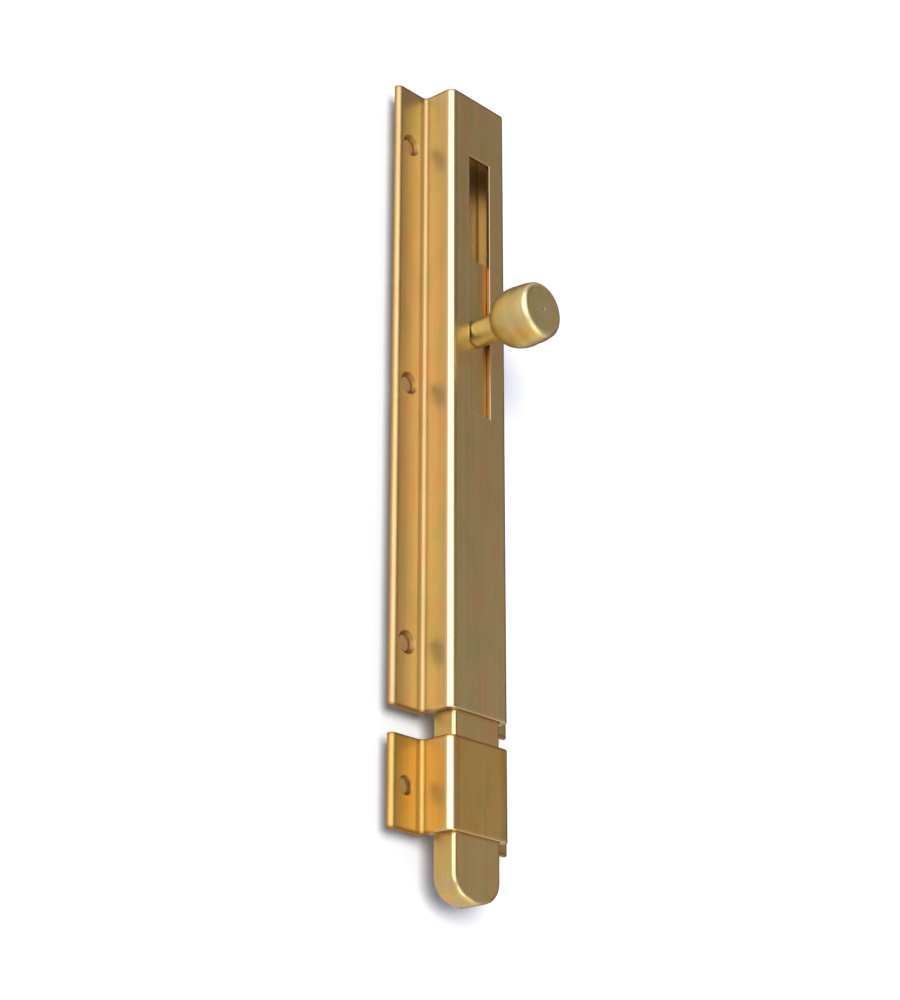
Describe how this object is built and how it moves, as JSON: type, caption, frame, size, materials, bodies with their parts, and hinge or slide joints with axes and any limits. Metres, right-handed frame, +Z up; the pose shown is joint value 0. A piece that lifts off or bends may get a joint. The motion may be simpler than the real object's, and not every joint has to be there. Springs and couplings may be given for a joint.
{
  "type": "door bolt",
  "caption": "Straight brass door bolt: slotted hat-section body, flat sliding bolt with a turned knob, and a short matching keeper.",
  "frame": {"origin": "centre of the body's screw pattern, on the mounting face", "axes": "+Z up along the bolt, away from its tip; +Y into the door, out of the mounting face; +X to the right seen from the front"},
  "size_m": [0.0376, 0.0286, 0.1904],
  "materials": {
    "body_brass": "drawn brass, polished and lightly tarnished, bright on its rounded edges",
    "keeper_brass": "the same drawn brass, a little warmer",
    "bolt_brass": "drawn flat bar, worn smooth by sliding",
    "knob_brass": "turned satin brass, with a turned end face",
    "plate_brass": "rolled sheet, dull",
    "spring_bronze": "hard rolled spring strip"
  },
  "bodies": {
    "body": {"body_channel": "body_brass", "back_plate": "plate_brass", "keeper": "keeper_brass"},
    "bolt": {"sliding_bolt": "bolt_brass", "knob": "knob_brass", "friction_spring": "spring_bronze"}
  },
  "joints": [
    {"name": "bolt_slide", "type": "slide", "parent": "body", "child": "bolt", "axis": [0, 0, 1], "range_m": [-0.01685, 0.04115]}
  ]
}
